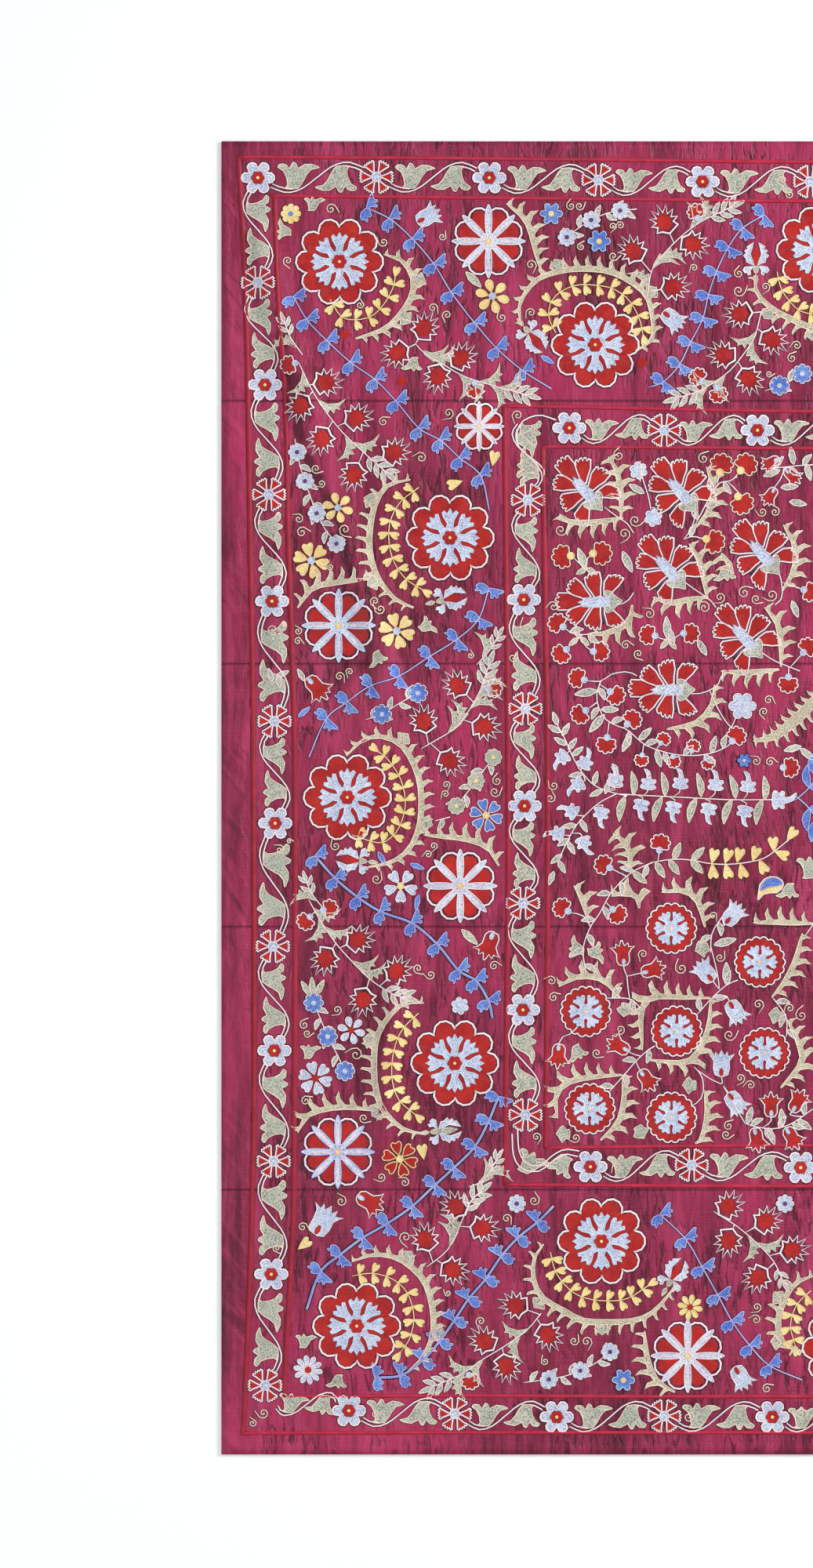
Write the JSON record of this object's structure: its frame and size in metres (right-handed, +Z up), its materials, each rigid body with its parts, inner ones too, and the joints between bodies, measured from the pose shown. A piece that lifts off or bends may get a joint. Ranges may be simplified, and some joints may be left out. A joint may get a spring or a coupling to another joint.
{
  "type": "suzani embroidered textile",
  "caption": "Large flat rectangular silk cloth of sewn loom widths, embroidered all over with flower rosettes, sprays and flowering borders.",
  "frame": {"origin": "middle of the cloth, on the surface that it lies on", "axes": "+X along the cloth's length, +Y across the loom widths towards the top one, +Z up, out of the embroidered face"},
  "size_m": [2.556, 2.0092, 0.0115],
  "materials": {
    "ground_silk": "satin",
    "white_thread": "satin",
    "red_thread": "satin",
    "pale_blue_thread": "satin",
    "sage_thread": "satin",
    "yellow_thread": "satin",
    "blue_thread": "satin"
  },
  "bodies": {
    "root": {"panel_top": "ground_silk", "panel_upper": "ground_silk", "panel_middle": "ground_silk", "panel_lower": "ground_silk", "panel_bottom": "ground_silk"}
  },
  "joints": []
}
